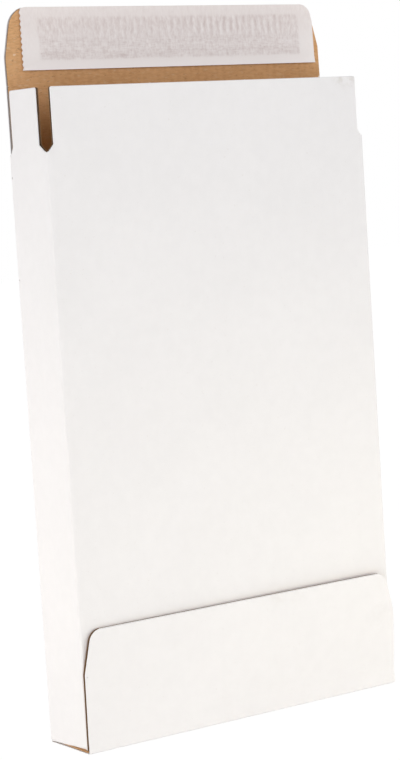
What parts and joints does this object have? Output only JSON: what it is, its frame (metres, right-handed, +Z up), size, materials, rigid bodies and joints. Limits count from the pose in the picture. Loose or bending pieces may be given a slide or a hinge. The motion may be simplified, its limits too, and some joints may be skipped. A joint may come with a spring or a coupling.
{
  "type": "letter mailer box",
  "caption": "Flat letter mailer of white-faced corrugated board, standing on its glued end with its mouth flaps open and a self-seal tape on the closure flap.",
  "frame": {"origin": "on the surface the box stands on, under the middle of its outer box", "axes": "+Z up from the glued end to the mouth, +X across the width, -Y out of the front panel"},
  "size_m": [0.1606, 0.031, 0.299],
  "materials": {
    "white_board": "matte white face, brown inside",
    "adhesive": "tacky film",
    "release_paper": "satin, siliconised"
  },
  "bodies": {
    "carton": {"carton_body": "white_board"},
    "front": {"front_flap": "white_board"},
    "left_dust": {"left_dust_flap": "white_board"},
    "right_dust": {"right_dust_flap": "white_board"},
    "lid": {"lid_panel": "white_board"},
    "seal": {"seal_flap": "white_board", "adhesive_strip": "adhesive", "release_liner": "release_paper"}
  },
  "joints": [
    {"name": "left_dust_fold", "type": "hinge", "parent": "carton", "child": "left_dust", "pos_m": [-0.07875, 0, 0.2387], "axis": [0, 1, 0], "range_deg": [0, 90]},
    {"name": "right_dust_fold", "type": "hinge", "parent": "carton", "child": "right_dust", "pos_m": [0.07875, 0, 0.2387], "axis": [0, -1, 0], "range_deg": [0, 90]},
    {"name": "front_fold", "type": "hinge", "parent": "carton", "child": "front", "pos_m": [0, -0.01246, 0.2403], "axis": [-1, 0, 0], "range_deg": [0, 90]},
    {"name": "lid_fold", "type": "hinge", "parent": "carton", "child": "lid", "pos_m": [0, 0.01464, 0.2404], "axis": [1, 0, 0], "range_deg": [-170, 3]},
    {"name": "seal_fold", "type": "hinge", "parent": "lid", "child": "seal", "pos_m": [0, 0.01314, 0.2675], "axis": [1, 0, 0], "range_deg": [0, 91.5]}
  ]
}
